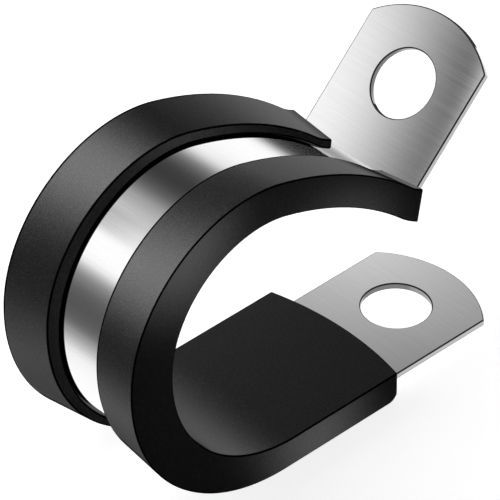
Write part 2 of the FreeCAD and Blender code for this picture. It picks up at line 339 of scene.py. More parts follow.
@dataclass
class SidePath:
    """The strap's outer face in side view, from the lower tab's tip upwards."""

    ring: RingSizes
    ending: tuple[Bend, ...]
    bends: list[Bend] = field(init=False)
    start: PathState = field(init=False)
    guide_step: float = 0.4
    guide_turn: float = 0.8

    def __post_init__(self) -> None:
        """Work out the lower flat from the arcs' centres, then chain the pieces."""
        ring = self.ring
        low_end = math.radians(-90.0 - ring.low_turn)
        step = ring.back_radius - ring.low_radius
        flat_end = ring.centre[0] + step * math.cos(low_end)
        level = ring.centre[1] + step * math.sin(low_end) - ring.low_radius
        self.start = (ring.lower_tip, level, math.pi)
        self.bends = [Bend(ring.lower_tip - flat_end),
                      Bend.arc(ring.low_radius, -ring.low_turn),
                      Bend.arc(ring.back_radius, -ring.back_turn), *self.ending]

    @property
    def length(self) -> float:
        """Length of the whole path."""
        return sum(bend.length for bend in self.bends)

    @property
    def last_joint(self) -> float:
        """Length at which the path's last piece starts."""
        return self.joints()[-2]

    def joints(self) -> list[float]:
        """Lengths along the path at which its pieces start and end."""
        places = [0.0]
        for bend in self.bends:
            places.append(places[-1] + bend.length)
        return places

    def at(self, along: float) -> PathState:
        """Find a point of the path.

        Args:
            along: the length along the path, which may lie past its end.

        Returns:
            x, z and the heading there.
        """
        state = self.start
        for bend in self.bends[:-1]:
            if along <= bend.length:
                return bend.after(along, *state)
            state = bend.after(bend.length, *state)
            along -= bend.length
        return self.bends[-1].after(along, *state)

    def place(self, along: float, rise: float) -> PathPoint:
        """Find the x and z of a point that lies outwards from the path by rise."""
        x, z, heading = self.at(along)
        return x - rise * math.sin(heading), z + rise * math.cos(heading)

    def stations(self, first: float, last: float, step: float, turn: float) -> list[float]:
        """Spread cuts along a stretch of the path, closer where it bends.

        Args:
            first: where the stretch starts.
            last: where it ends.
            step: longest distance between two cuts.
            turn: largest turn between two cuts, in degrees.

        Returns:
            The cuts' lengths along the path, both ends included.
        """
        cuts = [first]
        for bend, start in zip(self.bends, self.joints()):
            low, high = max(first, start), min(last, start + bend.length)
            if high - low < SHORTEST:
                continue
            turned = abs(bend.turn) * (high - low) / bend.length
            count = max(1, math.ceil((high - low) / step), math.ceil(turned / turn))
            cuts += [low + (high - low) * n / count for n in range(1, count + 1)]
        return cuts

    def curve(self, name: str) -> bpy.types.Object:
        """Make the path as a curve object in metres, for the bending tree to read.

        Args:
            name: the curve's name.

        Returns:
            The curve object.
        """
        data = bpy.data.curves.new(name, "CURVE")
        data.dimensions = "3D"
        spline = data.splines.new("POLY")
        cuts = self.stations(0.0, self.length, self.guide_step, self.guide_turn)
        spline.points.add(len(cuts) - 1)
        for point, along in zip(spline.points, cuts):
            x, z, _ = self.at(along)
            point.co = (x * MM, 0.0, z * MM, 1.0)
        made = bpy.data.objects.new(name, data)
        bpy.context.scene.collection.objects.link(made)
        return made


@dataclass
class Blank:
    """A straight piece before it is bent: points as (along, across, rise), and faces."""

    points: list[tuple[float, float, float]] = field(default_factory=list)
    shifts: list[PathPoint] = field(default_factory=list)
    faces: list[tuple[int, ...]] = field(default_factory=list)

    def add(self, along: float, across: float, rise: float, shift: PathPoint = (0.0, 0.0)) -> int:
        """Add a point.

        Args:
            along: its place along the blank.
            across: its place across it.
            rise: its height over the strap's outer face.
            shift: how far it moves in side view once it is bent.

        Returns:
            The point's number.
        """
        self.points.append((along, across, rise))
        self.shifts.append(shift)
        return len(self.points) - 1

    def join(self, one: list[int], other: list[int], closed: bool = False) -> None:
        """Fill between two rows of points that match one to one.

        Args:
            one: numbers of the first row's points.
            other: numbers of the second row's points.
            closed: whether the rows close to rings.
        """
        count = len(one) if closed else len(one) - 1
        for n in range(count):
            after = (n + 1) % len(one)
            self.faces.append((one[n], one[after], other[after], other[n]))

    def thicken(self, thickness: float) -> None:
        """Give a flat blank its thickness, with walls round every open edge.

        Args:
            thickness: how far the second face lies below the first.
        """
        count = len(self.points)
        for along, across, rise in list(self.points):
            self.add(along, across, rise - thickness)
        sides = [side for face in self.faces for side in zip(face, face[1:] + face[:1])]
        shared = {(end, start) for start, end in sides}
        below = [tuple(n + count for n in reversed(face)) for face in self.faces]
        walls = [(end, start, start + count, end + count)
                 for start, end in sides if (start, end) not in shared]
        self.faces += below + walls

    def mesh(self, name: str) -> bpy.types.Mesh:
        """Make the flat mesh in metres, with its shifts and its places in millimetres as UV.

        Args:
            name: the mesh's name.

        Returns:
            The mesh.
        """
        made = bpy.data.meshes.new(name)
        scaled = [tuple(value * MM for value in point) for point in self.points]
        made.from_pydata(scaled, [], self.faces)
        shell = bmesh.new()
        shell.from_mesh(made)
        bmesh.ops.recalc_face_normals(shell, faces=shell.faces)
        shell.to_mesh(made)
        shell.free()
        shift = made.attributes.new(SHIFT, "FLOAT_VECTOR", "POINT")
        shift.data.foreach_set("vector", [v for x, z in self.shifts for v in (x * MM, 0.0, z * MM)])
        layer = made.uv_layers.new(name=BLANK_MAP)
        for loop in made.loops:
            along, across, _ = self.points[loop.vertex_index]
            layer.data[loop.index].uv = (along, across)
        return made


class BendTree:
    """Geometry Nodes tree that bends a straight blank along a side path."""

    def __init__(self) -> None:
        """Build the tree with its named inputs."""
        self.tree = bpy.data.node_groups.new("bend_along_path", "GeometryNodeTree")
        self.sockets: dict[str, str] = {}
        graph = Graph(self.tree)
        kinds = {"Blank": "NodeSocketGeometry", "Path": "NodeSocketObject",
                 "Finish": "NodeSocketMaterial"}
        for name, kind in kinds.items():
            made = self.tree.interface.new_socket(name, in_out="INPUT", socket_type=kind)
            self.sockets[name] = made.identifier
        self.tree.interface.new_socket("Piece", in_out="OUTPUT", socket_type="NodeSocketGeometry")
        given = graph.node("NodeGroupInput").outputs
        along, across, rise = graph.split(graph.field("GeometryNodeInputPosition"))
        path = graph.field("GeometryNodeObjectInfo", inputs={"Object": given["Path"]},
                           output="Geometry")
        sample = graph.node("GeometryNodeSampleCurve", {"mode": "LENGTH"},
                            {"Curves": path, "Length": along}).outputs
        tangent_x, _, tangent_z = graph.split(sample["Tangent"])
        outward = graph.field("ShaderNodeCombineXYZ", inputs={
            "X": 0.0 - tangent_z, "Y": 0.0, "Z": tangent_x})
        raised = graph.field("ShaderNodeVectorMath", {"operation": "SCALE"},
                             {0: outward, "Scale": rise})
        shift = graph.field("GeometryNodeInputNamedAttribute", {"data_type": "FLOAT_VECTOR"},
                            {"Name": SHIFT})
        sideways = graph.field("ShaderNodeCombineXYZ", inputs={"Y": across})
        place = sample["Position"]
        for part in (raised, sideways, shift):
            place = graph.field("ShaderNodeVectorMath", {"operation": "ADD"}, {0: place, 1: part})
        bent = graph.field("GeometryNodeSetPosition",
                           inputs={"Geometry": given["Blank"], "Position": place})
        real = graph.field("GeometryNodeRealizeInstances", inputs={"Geometry": bent})
        done = graph.field("GeometryNodeSetMaterial",
                           inputs={"Geometry": real, "Material": given["Finish"]})
        graph.node("NodeGroupOutput", inputs={0: done})

    def bend(self, blank: bpy.types.Mesh, path: SidePath,
             finish: bpy.types.Material) -> bpy.types.Object:
        """Bend a blank and keep the result as a plain mesh.

        Args:
            blank: the straight mesh.
            path: the side path.
            finish: material of the bent piece.

        Returns:
            The bent piece, at the origin.
        """
        made = bpy.data.objects.new(blank.name, blank)
        bpy.context.scene.collection.objects.link(made)
        guide = path.curve(f"{blank.name}_path")
        modifier = made.modifiers.new("bend", "NODES")
        modifier.node_group = self.tree
        modifier[self.sockets["Path"]] = guide
        modifier[self.sockets["Finish"]] = finish
        evaluated = made.evaluated_get(bpy.context.evaluated_depsgraph_get())
        plain = bpy.data.meshes.new_from_object(evaluated)
        made.modifiers.clear()
        made.data = plain
        plain.name = blank.name
        plain.materials.clear()
        plain.materials.append(finish)
        plain.polygons.foreach_set("material_index", [0] * len(plain.polygons))
        bpy.data.meshes.remove(blank)
        bpy.data.objects.remove(guide)
        plain.attributes.remove(plain.attributes[SHIFT])
        return made


def soften_edges(piece: bpy.types.Object, width: float, finish: bpy.types.Material,
                 angle: float = SMOOTH_ANGLE, facets: int = 2) -> None:
    """Round a piece's sharp edges in a finish of their own, and shade its curves smoothly.

    Args:
        piece: the piece.
        width: width of the rounding, in millimetres.
        finish: material of the rounding.
        angle: least angle at an edge that is rounded, in degrees.
        facets: facets across the rounding.
    """
    piece.data.materials.append(finish)
    piece.data.shade_smooth()
    piece.data.set_sharp_from_angle(angle=math.radians(SMOOTH_ANGLE))
    bevel = piece.modifiers.new("edges", "BEVEL")
    bevel.width = width * MM
    bevel.segments = facets
    bevel.limit_method = "ANGLE"
    bevel.angle_limit = math.radians(angle)
    bevel.material = len(piece.data.materials) - 1
    bevel.harden_normals = True
    bevel.use_clamp_overlap = False


@dataclass
class Strap:
    """The folded steel strap with its two tabs, and how finely its blank is divided."""

    ring: RingSizes
    sizes: StrapSizes
    tree: BendTree
    rows: int = 24
    tip_cuts: int = 40
    side_cuts: int = 16
    cut_step: float = 3.0
    cut_turn: float = 2.0
    root_run: float = 0.4
    edge_angle: float = 60.0

    def path(self) -> SidePath:
        """Make the strap's side path, with the top arc, the fold and the upper tab.

        Returns:
            The path.
        """
        sizes = self.sizes
        turned = self.ring.low_turn + self.ring.back_turn + sizes.top_turn - 180.0
        fold = Bend.arc(sizes.fold_radius, sizes.tab_slope + turned)
        tab = Bend(sizes.upper_hole_reach + sizes.hole_to_tip)
        return SidePath(self.ring, (Bend.arc(self.ring.top_radius, -sizes.top_turn), fold, tab))

    def hole_places(self) -> tuple[float, float]:
        """Find the lengths along the blank at which the two holes' centres lie."""
        return self.sizes.hole_to_tip, self.path().length - self.sizes.hole_to_tip

    def _across(self) -> list[float]:
        """Places of the blank's rows across its width."""
        half = self.sizes.width / 2
        return [-half + 2 * half * n / self.rows for n in range(self.rows + 1)]

    def _tab(self, blank: Blank, root: list[int], tip: float, way: int) -> None:
        """Add a tab with its round tip and hole, out from a root row.

        Args:
            blank: the blank to add to.
            root: points of the row across the blank that the tab starts from.
            tip: where the tab ends, along the blank.
            way: 1 if the tab runs on along the blank, -1 if it runs back.
        """
        sizes = self.sizes
        half = sizes.width / 2
        hole = tip - way * sizes.hole_to_tip
        tip_centre = tip - way * sizes.tip_radius
        corner = math.asin(half / sizes.tip_radius)
        arc = [(tip_centre + way * sizes.tip_radius * math.cos(turn),
                sizes.tip_radius * math.sin(turn))
               for turn in (corner * (1 - 2 * n / self.tip_cuts)
                            for n in range(self.tip_cuts + 1))]
        root_along = blank.points[root[0]][0]
        sides = [n / self.side_cuts for n in range(1, self.side_cuts)]
        far = [(root_along + (arc[0][0] - root_along) * n, half) for n in sides]
        near = [(arc[-1][0] + (root_along - arc[-1][0]) * n, -half) for n in sides]
        outline = root + [blank.add(x, y, 0.0) for x, y in far + arc + near]
        if way > 0:
            outline.reverse()
        rim = []
        for index in outline:
            along, across, _ = blank.points[index]
            reach = sizes.hole_radius / math.hypot(along - hole, across)
            rim.append(blank.add(hole + (along - hole) * reach, across * reach, 0.0))
        blank.join(rim, outline, closed=True)

    def build(self, finish: bpy.types.Material, edge: bpy.types.Material) -> bpy.types.Object:
        """Make the blank, bend it and round its edges.

        Args:
            finish: the steel.
            edge: the steel's look on its sheared edges.

        Returns:
            The strap.
        """
        sizes = self.sizes
        path = self.path()
        low_root = sizes.hole_to_tip + sizes.hole_to_root
        high_root = path.last_joint + self.root_run
        blank = Blank()
        rows = [[blank.add(along, across, 0.0) for across in self._across()]
                for along in path.stations(low_root, high_root, self.cut_step, self.cut_turn)]
        for one, other in zip(rows, rows[1:]):
            blank.join(one, other)
        self._tab(blank, rows[0], 0.0, -1)
        self._tab(blank, rows[-1], path.length, 1)
        blank.thicken(sizes.thickness)
        piece = self.tree.bend(blank.mesh("strap_looks"), path, finish)
        soften_edges(piece, sizes.bevel, edge, self.edge_angle)
        return piece


class SectionPoint(NamedTuple):
    """A point of the liner's cut face, with its side shift and whether it is on a crest."""

    across: float
    rise: float
    shift: PathPoint = (0.0, 0.0)
    crest: bool = False


@dataclass
class Liner:
    """The moulded rubber liner, a channel that wraps the strap's edges.

    The rows and cuts are how finely its blank is divided across and along. Its cuts are
    even between start_run from the path's start and mouth_run past the start of the flare.
    """

    ring: RingSizes
    sizes: LinerSizes
    strap: StrapSizes
    tree: BendTree
    middle_rows: int = 22
    lip_rows: int = 8
    slant_rows: int = 2
    corner_cuts: int = 4
    start_cuts: int = 4
    mouth_cuts: int = 6
    cut_step: float = 2.0
    cut_turn: float = 2.0
    start_run: float = 20.0
    mouth_run: float = 2.0
    least_lip: float = 0.05
    halvings: int = 50

    @property
    def half_width(self) -> float:
        """Half the liner's width."""
        return self.strap.width / 2 + self.sizes.side_wall

    def path(self) -> SidePath:
        """Make the liner's side path, with its shorter top arc and the flare of its mouth.

        Returns:
            The path.
        """
        sizes = self.sizes
        flare = Bend.arc(sizes.flare_radius + sizes.lip, sizes.flare_turn)
        return SidePath(self.ring, (Bend.arc(self.ring.top_radius, -sizes.top_turn), flare))

    def _crest(self, across: float) -> float:
        """Find the height of the lips' sloping crest at a place across the liner."""
        slope = math.tan(math.radians(self.sizes.lip_slope))
        return self.sizes.lip - (self.half_width - abs(across)) * slope

    def _lip(self) -> list[SectionPoint]:
        """Draw one lip of the cut face.

        Returns:
            Its crest from the side inwards, its slanted underside and the channel's roof.
        """
        sizes = self.sizes
        half, gap, slant = self.half_width, sizes.lip_gap / 2, sizes.lip_slant
        roof_width = self.strap.width / 2 + sizes.clearance - gap - slant
        lift = sizes.clearance + sizes.lip_lift
        roof_rows = self.lip_rows - self.slant_rows
        crest = [half + (gap - half) * n / self.lip_rows for n in range(self.lip_rows + 1)]
        points = [SectionPoint(across, self._crest(across), sizes.crest_shift, True)
                  for across in crest]
        points += [SectionPoint(gap + slant * n / self.slant_rows,
                                lift - sizes.lip_lift * n / self.slant_rows)
                   for n in range(self.slant_rows + 1)]
        points += [SectionPoint(gap + slant + roof_width * n / roof_rows, sizes.clearance)
                   for n in range(1, roof_rows + 1)]
        return points

    def _section(self) -> list[SectionPoint]:
        """Draw the channel's whole cut face.

        Returns:
            The bore, one lip, the channel's floor and the other lip, in a ring.
        """
        sizes = self.sizes
        inner = self.strap.width / 2 + sizes.clearance
        bore = -self.strap.thickness - sizes.base
        spread = [-1 + 2 * n / self.middle_rows for n in range(self.middle_rows + 1)]
        lip = self._lip()
        other_lip = [point._replace(across=-point.across) for point in reversed(lip)]
        channel = [SectionPoint(inner * share, -self.strap.thickness - sizes.clearance)
                   for share in reversed(spread)]
        under = [SectionPoint(self.half_width * share, bore, sizes.bore_shift)
                 for share in spread]
        return under + lip + channel + other_lip

    def _lower_end(self, point: SectionPoint) -> float:
        """Find where the liner starts along the path, at the curved cut of its lower end.

        Args:
            point: the point of the cut face.

        Returns:
            The length along the path.
        """
        sizes = self.sizes
        sag = sizes.end_radius - math.sqrt(sizes.end_radius ** 2 - point.across ** 2)
        return self.ring.lower_tip + point.shift[0] - (sizes.lower_end - sag)

    def _meet(self, path: SidePath, rise: float, shift: PathPoint,
              beyond: Callable[[float, float], bool]) -> float:
        """Find where a level of the mouth passes a line in side view.

        Args:
            path: the liner's side path.
            rise: the level.
            shift: its side shift.
            beyond: tells whether an x and z lie past the line.

        Returns:
            The length along the path.
        """
        low, high = path.last_joint - self.mouth_run, path.length
        for _ in range(self.halvings):
            middle = (low + high) / 2
            x, z = path.place(middle, rise)
            if beyond(x + shift[0], z + shift[1]):
                high = middle
            else:
                low = middle
        return low

    def _upper_ends(self, path: SidePath, section: list[SectionPoint]) -> list[float]:
        """Find where the points of the cut face meet the mouth's slanted cut.

        Args:
            path: the liner's side path.
            section: the points.

        Returns:
            A length along the path for each point.
        """
        sizes = self.sizes
        slope = math.radians(sizes.mouth_slope)
        bore = -self.strap.thickness - sizes.base
        shift_x, shift_z = sizes.bore_shift
        corner_x = path.place(path.last_joint, bore)[0] + shift_x + sizes.mouth_reach
        corner_at = self._meet(path, bore, sizes.bore_shift, lambda x, _: x >= corner_x)
        corner_z = path.place(corner_at, bore)[1] + shift_z

        def past_cut(x: float, z: float) -> bool:
            """Tell whether a point lies beyond the cut through the bore's corner."""
            return (x - corner_x) * math.sin(slope) >= (z - corner_z) * math.cos(slope)

        return [self._meet(path, point.rise, point.shift, past_cut) for point in section]

    def _blank(self, path: SidePath) -> Blank:
        """Lay the channel out straight, from its rounded lower end to the mouth.

        Args:
            path: the liner's side path.

        Returns:
            The closed blank.
        """
        section = self._section()
        starts = [self._lower_end(point) for point in section]
        ends = self._upper_ends(path, section)
        near, far = self.start_run, path.last_joint + self.mouth_run
        radius = self.sizes.corner_radius
        blank = Blank()
        rows: list[list[int]] = []

        def add_row(cuts: list[float], drop: float = 0.0) -> None:
            """Add one cut of the channel, its crest lowered by drop."""
            row = []
            for point, along in zip(section, cuts):
                level = point.rise - drop
                if not point.crest:
                    level = min(point.rise, self._crest(point.across) - drop - self.least_lip)
                row.append(blank.add(along, point.across, level, point.shift))
            rows.append(row)

        for n in range(self.corner_cuts + 1):
            turn = math.pi / 2 * n / self.corner_cuts
            step = radius * (1 - math.cos(turn))
            add_row([start + step for start in starts], radius * (1 - math.sin(turn)))
        for n in range(1, self.start_cuts):
            add_row([start + radius + (near - start - radius) * n / self.start_cuts
                     for start in starts])
        for along in path.stations(near, far, self.cut_step, self.cut_turn):
            add_row([along] * len(section))
        for n in range(1, self.mouth_cuts + 1):
            add_row([far + (end - far) * n / self.mouth_cuts for end in ends])
        for one, other in zip(rows, rows[1:]):
            blank.join(one, other, closed=True)
        for row in (rows[0], rows[-1]):
            self._cap(blank, row)
        return blank

    def _cap(self, blank: Blank, row: list[int]) -> None:
        """Close one end of the channel with quads.

        Args:
            blank: the blank to add to.
            row: the points of the end's outline, from the bore round.
        """
        wide, lip = self.middle_rows + 1, self.lip_rows + 1
        under, rest = row[:wide], row[wide:]
        right, rest = rest[:2 * lip], rest[2 * lip:]
        channel, left = rest[:wide], rest[wide:]
        blank.join(under, channel[::-1])
        blank.join(right[:lip][::-1], right[lip:])
        blank.join(left[:lip], left[lip:][::-1])
        blank.faces.append((under[-1], right[0], right[-1], channel[0]))
        blank.faces.append((under[0], left[-1], left[0], channel[-1]))

    def build(self, finish: bpy.types.Material, edge: bpy.types.Material) -> bpy.types.Object:
        """Make the channel, bend it and give its edges their thin dark rounding.

        Args:
            finish: the rubber.
            edge: the rubber's look on its edges.

        Returns:
            The liner.
        """
        path = self.path()
        piece = self.tree.bend(self._blank(path).mesh("liner_looks"), path, finish)
        soften_edges(piece, self.sizes.edge_width, edge)
        return piece


@dataclass(frozen=True)
class Brushing:
    """One layer of the brushing: how fine it is along and across a blank, and its share."""

    along: float
    across: float
    detail: float
    share: float


@dataclass(frozen=True)
class SteelFinish:
    """Brushed steel: bright round the ring, smoother on the tabs and dull in the fold, with painted
    shade beside the lips.

    Each span is counted from its own place: the end of the lower tab, the start of the
    upper one, the lips' inner edge or the hole's wall.
    """

    level: float = 0.80
    tab_level: float = 0.74
    roughness: float = 0.16
    tab_roughness: float = 0.06
    fold_roughness: float = 0.55
    # Share of the steel's level kept on the holes' walls, as painted shade.
    hole_wall_shade: float = 0.4
    streaks: float = 0.14
    streak_roughness: float = 0.03
    brushings: tuple[Brushing, ...] = (
        Brushing(13.0, 0.12, 3.0, 1.0), Brushing(2.5, 0.05, 2.0, 0.4))
    brush_roughness: float = 0.6
    lower_tab: float = 16.0
    lower_blend: Span = (-1.0, 1.0)
    upper_blend: Span = (-0.6, 0.6)
    fold_start: Span = (-2.2, -1.6)
    fold_end: Span = (-0.1, 0.4)
    # Where the painted shade beside and under the lips starts, ends and lies across.
    lip_shade_start: Span = (0.0, 2.0)
    lip_shade_end: Span = (-2.0, -1.2)
    lip_shade_side: Span = (-0.26, -0.16)
    hole_wall: Span = (0.02, 0.06)
    # Level of the painted shade beside and under the lips.
    lip_shade_level: float = 0.002
    edge_level: float = 0.03
    edge_roughness: float = 0.35

    def _streak(self, graph: Graph, along: Field, across: Field) -> Field | float:
        """Make the brushing, as noise drawn out along it.

        Args:
            graph: the material's tree.
            along: the place along the blank.
            across: the place across it.

        Returns:
            The brushing's level, about 0.
        """
        streak: Field | float = 0.0
        for layer in self.brushings:
            place = graph.field("ShaderNodeCombineXYZ", inputs={
                "X": along * layer.along, "Y": across * layer.across})
            noise = graph.field("ShaderNodeTexNoise", inputs={
                "Vector": place, "Scale": 1.0, "Detail": layer.detail,
                "Roughness": self.brush_roughness})
            streak = (noise - 0.5) * layer.share + streak
        return streak

    def material(self, upper_tab: float, gap: float, holes: tuple[float, float],
                 hole_radius: float) -> bpy.types.Material:
        """Make the material, with a painted shade, near black, where the liner's lips shade the
        steel.

        Args:
            upper_tab: length along the blank at which the upper tab starts.
            gap: width between the liner's lips.
            holes: lengths at which the two holes' centres lie.
            hole_radius: radius of the holes, whose walls are darkened by painted shade.

        Returns:
            The material.
        """
        material, graph = new_material("steel")
        along, across = graph.blank_place()
        streak = self._streak(graph, along, across)
        tab = (1.0 - along.ramp(*shifted(self.lower_tab, self.lower_blend))) + (
            along.ramp(*shifted(upper_tab, self.upper_blend)))
        shade = self.level + tab * (self.tab_level - self.level) + streak * self.streaks
        # Painted shade: the holes' walls keep only part of the steel's level.
        for hole in holes:
            off = graph.field("ShaderNodeCombineXYZ", inputs={"X": along - hole, "Y": across})
            reach = graph.field("ShaderNodeVectorMath", {"operation": "LENGTH"}, {0: off},
                                output="Value")
            wall = 1.0 - reach.ramp(*shifted(hole_radius, self.hole_wall))
            shade = shade * (1.0 - wall * (1.0 - self.hole_wall_shade))
        fold = along.band(shifted(upper_tab, self.fold_start), shifted(upper_tab, self.fold_end))
        rough = self.roughness + tab * (self.tab_roughness - self.roughness) + (
            fold * self.fold_roughness) + streak * self.streak_roughness
        bare = graph.field("ShaderNodeBsdfPrincipled", inputs={
            "Base Color": graph.grey(shade), "Metallic": 1.0, "Roughness": rough.clamped()})
        shaded = graph.field("ShaderNodeBsdfPrincipled", inputs={
            "Base Color": grey(self.lip_shade_level), "Roughness": 1.0,
            "Specular IOR Level": 0.0})
        # Painted shade: beside and under the lips the steel is mixed to a near-black finish.
        away = graph.field("ShaderNodeMath", {"operation": "ABSOLUTE"}, {0: across})
        painted_lip_shade = away.ramp(*shifted(gap / 2, self.lip_shade_side)) * along.band(
            shifted(self.lower_tab, self.lip_shade_start), shifted(upper_tab, self.lip_shade_end))
        graph.set_mixed(painted_lip_shade, bare, shaded)
        return material

    def edge_material(self) -> bpy.types.Material:
        """Make the dark material of the sheared edges.

        Returns:
            The material.
        """
        material, graph = new_material("steel_edge")
        graph.set_surface(graph.field("ShaderNodeBsdfPrincipled", inputs={
            "Base Color": grey(self.edge_level), "Metallic": 1.0,
            "Roughness": self.edge_roughness}))
        return material


@dataclass(frozen=True)
class RubberFinish:
    """Black moulded rubber with a fine speckle, and black rims along the lips' crests.

    The rims' spans are counted from the rear lip's outer side and the front lip's inner
    side. Faces that turn away by the grazing span are black too, and faces that look
    sideways or inwards have no rim.
    """

    level: float = 0.002
    roughness: float = 0.28
    index: float = 1.9
    speckle: float = 0.06
    speckled: Span = (0.46, 0.72)
    bump: float = 0.010
    grain_per_mm: float = 9.0
    rim_start: Span = (-0.28, -0.24)
    rim_end: Span = (0.0, 0.05)
    grazing: Span = (0.86, 0.96)
    sideways: Span = (0.2, 0.4)
    outward: float = 1.0
    black_roughness: float = 0.9
    black_gloss: float = 0.05

    def material(self, half: float, gap: float) -> bpy.types.Material:
        """Make the material of the faces.

        Args:
            half: half the liner's width, in millimetres.
            gap: half the width between its lips.

        Returns:
            The material.
        """
        material, graph = new_material("rubber")
        place = graph.field("ShaderNodeTexCoord", output="Object")
        grain = graph.field("ShaderNodeTexNoise", inputs={
            "Vector": place, "Scale": self.grain_per_mm / MM, "Detail": 0.0})
        bump = graph.field("ShaderNodeBump", inputs={
            "Strength": 1.0, "Distance": self.bump * MM, "Height": grain})
        shader = graph.field("ShaderNodeBsdfPrincipled", inputs={
            "Base Color": graph.grey(self.level + grain.ramp(*self.speckled) * self.speckle),
            "Roughness": self.roughness, "IOR": self.index, "Normal": bump})
        normal = graph.node("ShaderNodeNewGeometry").outputs["Normal"]
        _, side, _ = graph.split(normal)
        outward = graph.field("ShaderNodeVectorMath", {"operation": "DOT_PRODUCT"},
                              {0: normal, 1: place}, output="Value")
        crest = (1.0 - (side * side).ramp(*self.sideways)) * (
            outward.ramp(0.0, self.outward * MM))
        _, across = graph.blank_place()
        rims = across.ramp(*shifted(half, self.rim_start)) + across.band(
            shifted(-gap, self.rim_start), shifted(-gap, self.rim_end))
        facing = graph.field("ShaderNodeLayerWeight", inputs={"Blend": 0.5}, output="Facing")
        dark = (facing.ramp(*self.grazing) + rims * crest).clamped()
        graph.set_mixed(dark, shader, self._black(graph))
        return material

    def _black(self, graph: Graph) -> Field:
        """Make the dead black of rubber that turns away or is rounded off."""
        return graph.field("ShaderNodeBsdfPrincipled", inputs={
            "Base Color": grey(self.level), "Roughness": self.black_roughness,
            "Specular IOR Level": self.black_gloss})

    def edge_material(self) -> bpy.types.Material:
        """Make the near-black material of the rounded edges.

        Returns:
            The material.
        """
        material, graph = new_material("rubber_edge")
        graph.set_surface(self._black(graph))
        return material


def stage_mesh(name: str, corners: list[tuple[float, float, float]],
               faces: list[tuple[int, ...]], material: bpy.types.Material) -> bpy.types.Object:
    """Make a mesh of the stage, in millimetres, that isn't part of the object.

    Args:
        name: its name.
        corners: its points.
        faces: its faces.
        material: its material.

    Returns:
        The object.
    """
    mesh = bpy.data.meshes.new(name)
    mesh.from_pydata([tuple(value * MM for value in corner) for corner in corners], [], faces)
    mesh.materials.append(material)
    made = bpy.data.objects.new(name, mesh)
    bpy.context.scene.collection.objects.link(made)
    return made


def shine_on(light: bpy.types.Object, lit: list[bpy.types.Object]) -> None:
    """Hide a glowing mesh from the camera and let only some objects have its light.

    Args:
        light: the glowing mesh.
        lit: the objects that it lights.
    """
    light.visible_camera = False
    light.visible_shadow = False
    receivers = bpy.data.collections.new(f"{light.name}_lit")
    for piece in lit:
        receivers.objects.link(piece)
    light.light_linking.receiver_collection = receivers


@dataclass(frozen=True)
class Card:
    """A dark card in a tent: its angles, its near edge, its faded end and the light it leaves."""

    low: float
    high: float
    near: float
    far: float
    left: float


@dataclass
class Tent:
    """A round light tent along Y about the object, graded by angle, for one finish.

    Each level is an angle from +X and the brightness there, and front is the brightness of
    the half before the object. The skew turns the grading by so many degrees for each
    millimetre along Y, counted from seen_at and up to skew_reach. The last three spans are
    the soft edges of the cards and of the front.
    """

    name: str
    levels: tuple[tuple[float, float], ...]
    strength: float
    front: float
    skew: float = 0.0
    cards: tuple[Card, ...] = ()
    radius: float = 115.0
    centre: PathPoint = (5.0, -2.0)
    seen_at: float = 80.0
    half_length: float = 500.0
    facets: int = 120
    skew_reach: float = 60.0
    soft_turn: Span = (-4.0, 4.0)
    soft_run: Span = (-2.0, 2.0)
    front_edge: Span = (-20.0, 20.0)

    def _material(self) -> bpy.types.Material:
        """Make the glowing material.

        Returns:
            The material.
        """
        material, graph = new_material(self.name)
        x, y, z = graph.split(graph.field("ShaderNodeTexCoord", output="Object"))
        y = y / MM
        angle = graph.field("ShaderNodeMath", {"operation": "ARCTAN2"}, {
            0: z - self.centre[1] * MM, 1: x - self.centre[0] * MM})
        degrees = angle * math.degrees(1.0)
        near = graph.field("ShaderNodeMath", {"operation": "MAXIMUM"},
                           {0: y - self.seen_at, 1: -self.skew_reach})
        near = graph.field("ShaderNodeMath", {"operation": "MINIMUM"},
                           {0: near, 1: self.skew_reach})
        turn = graph.field("ShaderNodeMath", {"operation": "FRACT"}, {
            0: (degrees - near * self.skew) / 360.0})
        curve = [(way / 360.0, level) for way, level in self.levels]
        level = graph.field("ShaderNodeFloatCurve", {"curve": curve}, {"Value": turn})
        for card in self.cards:
            inside = degrees.band(shifted(card.low, self.soft_turn),
                                  shifted(card.high, self.soft_turn))
            dark = inside * y.band(shifted(card.near, self.soft_run), (card.near, card.far))
            level = level * (1.0 - dark * (1.0 - card.left))
        level = self.front + (level - self.front) * y.ramp(*self.front_edge)
        graph.set_glow(level * self.strength)
        return material

    def build(self, lit: list[bpy.types.Object]) -> None:
        """Put the tent up, unseen itself, with only some objects in its light.

        Args:
            lit: the objects that it lights.
        """
        corners, faces = [], []
        for n in range(self.facets):
            around = 2 * math.pi * n / self.facets
            x = self.centre[0] + self.radius * math.cos(around)
            z = self.centre[1] + self.radius * math.sin(around)
            corners += [(x, -self.half_length, z), (x, self.half_length, z)]
            after = (n + 1) % self.facets
            faces.append((2 * n, 2 * n + 1, 2 * after + 1, 2 * after))
        shine_on(stage_mesh(self.name, corners, faces, self._material()), lit)


@dataclass(frozen=True)
class Spot:
    """A soft round light seen in the front face: the place that it brightens, and its size."""

    place: PathPoint
    reach: float
    strength: float


